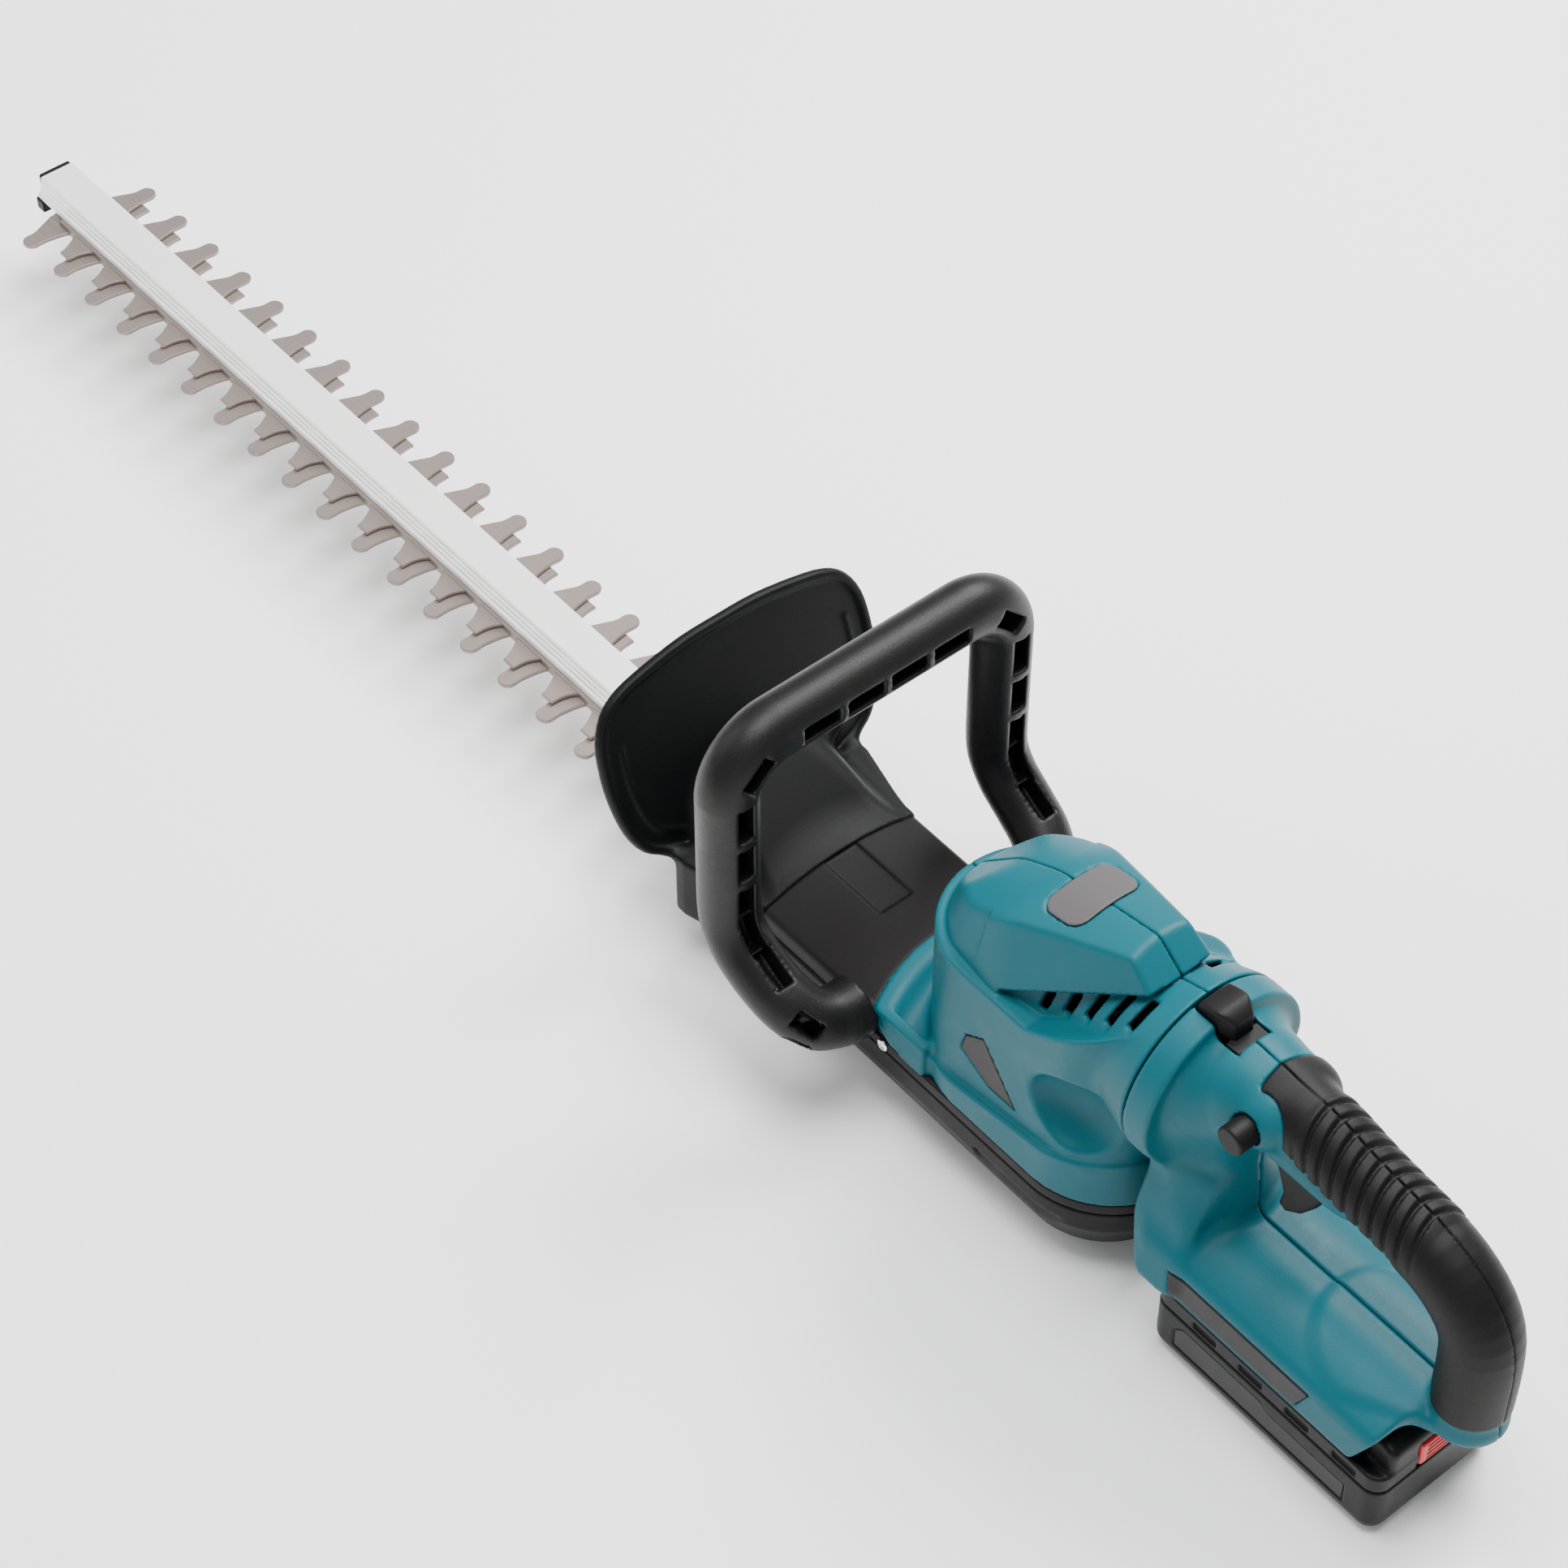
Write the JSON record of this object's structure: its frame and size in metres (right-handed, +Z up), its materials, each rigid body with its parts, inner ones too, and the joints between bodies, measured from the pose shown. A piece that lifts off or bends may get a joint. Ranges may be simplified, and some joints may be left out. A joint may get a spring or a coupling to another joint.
{
  "type": "cordless hedge trimmer",
  "caption": "Cordless hedge trimmer with twin reciprocating blades, hand guard, front loop handle, swivelling rear handle and slide-out battery.",
  "frame": {"origin": "on the ground under the middle of the tool's overall length, in its symmetry plane", "axes": "+X towards the blade tip, +Y to the user's left, +Z up"},
  "size_m": [1.058, 0.183, 0.214],
  "materials": {
    "rail_aluminium": "extruded, fine length-wise lines",
    "steel_bright": "zinc plated",
    "chrome_screw": "bright",
    "blade_steel": "rolled and ground",
    "gear_steel": "hobbed, oiled",
    "spring_steel": "drawn wire",
    "brass_parts": "satin",
    "copper_winding": "lacquered wire",
    "cast_alloy": "die cast",
    "black_plastic": "fine moulded grain",
    "guard_plastic": "fine moulded grain",
    "handle_plastic": "satin moulded, scuffed on the ribs",
    "button_plastic": "satin",
    "battery_plastic": "satin grain",
    "teal_plastic": "fine moulded grain",
    "grip_rubber": "soft overmould with ribs",
    "grey_badge": "satin plate",
    "label_black": "printed plate, blank",
    "battery_label": "printed plate, blank",
    "latch_red": "satin",
    "cell_blue": "shrink sleeve",
    "board_green": "solder mask",
    "felt": "pressed felt"
  },
  "bodies": {
    "main_body": {"blade_rail": "rail_aluminium", "rail_end_cap": "black_plastic", "guide_bolts": "steel_bright", "guide_sleeves": "steel_bright", "guide_washers": "steel_bright", "hand_guard": "guard_plastic", "guard_screws": "steel_bright", "gear_cover": "black_plastic", "cover_panel": "black_plastic", "gear_case": "black_plastic", "base_cover": "black_plastic", "base_screws": "steel_bright", "flange_screws": "chrome_screw", "front_handle": "handle_plastic", "handle_screws": "steel_bright", "housing_left": "teal_plastic", "housing_right": "teal_plastic", "housing_screws": "steel_bright", "badge_plate": "grey_badge", "side_plates": "label_black", "motor_can": "steel_bright", "motor_end_cap": "black_plastic", "brush_holders": "brass_parts", "crank_bearings": "steel_bright", "motor_bearings": "steel_bright", "felt_seal": "felt", "swivel_ring": "cast_alloy"},
    "top_blade": {"upper_blade": "blade_steel"},
    "bottom_blade": {"lower_blade": "blade_steel"},
    "crank": {"crank_gear": "gear_steel", "crank_shaft": "gear_steel", "upper_cam": "gear_steel", "lower_cam": "gear_steel"},
    "rotor": {"motor_shaft": "steel_bright", "armature": "copper_winding", "commutator": "brass_parts", "cooling_fan": "black_plastic", "pinion": "gear_steel"},
    "rear_handle": {"rear_handle_left": "teal_plastic", "rear_handle_right": "teal_plastic", "grip_rubber": "grip_rubber", "rear_handle_screws": "steel_bright", "swivel_sleeve": "black_plastic", "switch_body": "black_plastic", "control_board": "board_green", "terminal_block": "black_plastic", "trigger_pin": "steel_bright", "tray_plates": "label_black"},
    "trigger_lever": {"trigger": "black_plastic", "trigger_spring": "spring_steel"},
    "lock_off": {"lock_off_button": "button_plastic", "lock_off_spring": "spring_steel"},
    "swivel_lock": {"rotation_lock": "button_plastic", "rotation_lock_spring": "spring_steel"},
    "battery": {"battery_case": "battery_plastic", "battery_lid": "battery_plastic", "battery_cells": "cell_blue", "battery_plates": "battery_label"},
    "battery_catch": {"battery_latch": "latch_red", "latch_spring": "spring_steel"}
  },
  "joints": [
    {"name": "crank_turn", "type": "hinge", "parent": "main_body", "child": "crank", "pos_m": [-0.246, 0, 0.045], "axis": [0, 0, -1], "range_deg": [-155.7, 24.3]},
    {"name": "top_blade_stroke", "type": "slide", "parent": "main_body", "child": "top_blade", "axis": [1, 0, 0], "range_m": [-0.00692, 0.00108]},
    {"name": "bottom_blade_stroke", "type": "slide", "parent": "main_body", "child": "bottom_blade", "axis": [1, 0, 0], "range_m": [-0.00108, 0.00692]},
    {"name": "motor_turn", "type": "hinge", "parent": "main_body", "child": "rotor", "pos_m": [-0.27985, 0, 0.045], "axis": [0, 0, -1], "range_deg": [-108, 687]},
    {"name": "handle_swivel", "type": "hinge", "parent": "main_body", "child": "rear_handle", "pos_m": [-0.35, 0, 0.1375], "axis": [1, 0, 0], "range_deg": [-90, 90]},
    {"name": "trigger_pull", "type": "hinge", "parent": "rear_handle", "child": "trigger_lever", "pos_m": [-0.4, 0, 0.1455], "axis": [0, 1, 0], "range_deg": [0, 10], "stiffness_Nm_per_rad": 1.2, "springref_deg": -8.59, "deforming": ["trigger_spring"]},
    {"name": "lock_off_press", "type": "slide", "parent": "rear_handle", "child": "lock_off", "axis": [0, -1, 0], "range_m": [0, 0.005], "stiffness_N_per_m": 300, "springref_m": -0.004, "deforming": ["lock_off_spring"]},
    {"name": "swivel_lock_slide", "type": "slide", "parent": "rear_handle", "child": "swivel_lock", "axis": [-1, 0, 0], "range_m": [0, 0.005], "stiffness_N_per_m": 300, "springref_m": -0.004, "deforming": ["rotation_lock_spring"]},
    {"name": "battery_slide", "type": "slide", "parent": "rear_handle", "child": "battery", "axis": [-1, 0, 0], "range_m": [0, 0.1]},
    {"name": "battery_latch_press", "type": "slide", "parent": "battery", "child": "battery_catch", "axis": [0, 0, -1], "range_m": [0, 0.003], "stiffness_N_per_m": 300, "springref_m": -0.004, "deforming": ["latch_spring"]}
  ],
  "couplings": [
    {"joint": "top_blade_stroke", "follows": "crank_turn", "m_per_rad": 0.0025465},
    {"joint": "bottom_blade_stroke", "follows": "crank_turn", "m_per_rad": -0.0025465},
    {"joint": "motor_turn", "follows": "crank_turn", "ratio": -4.4}
  ]
}
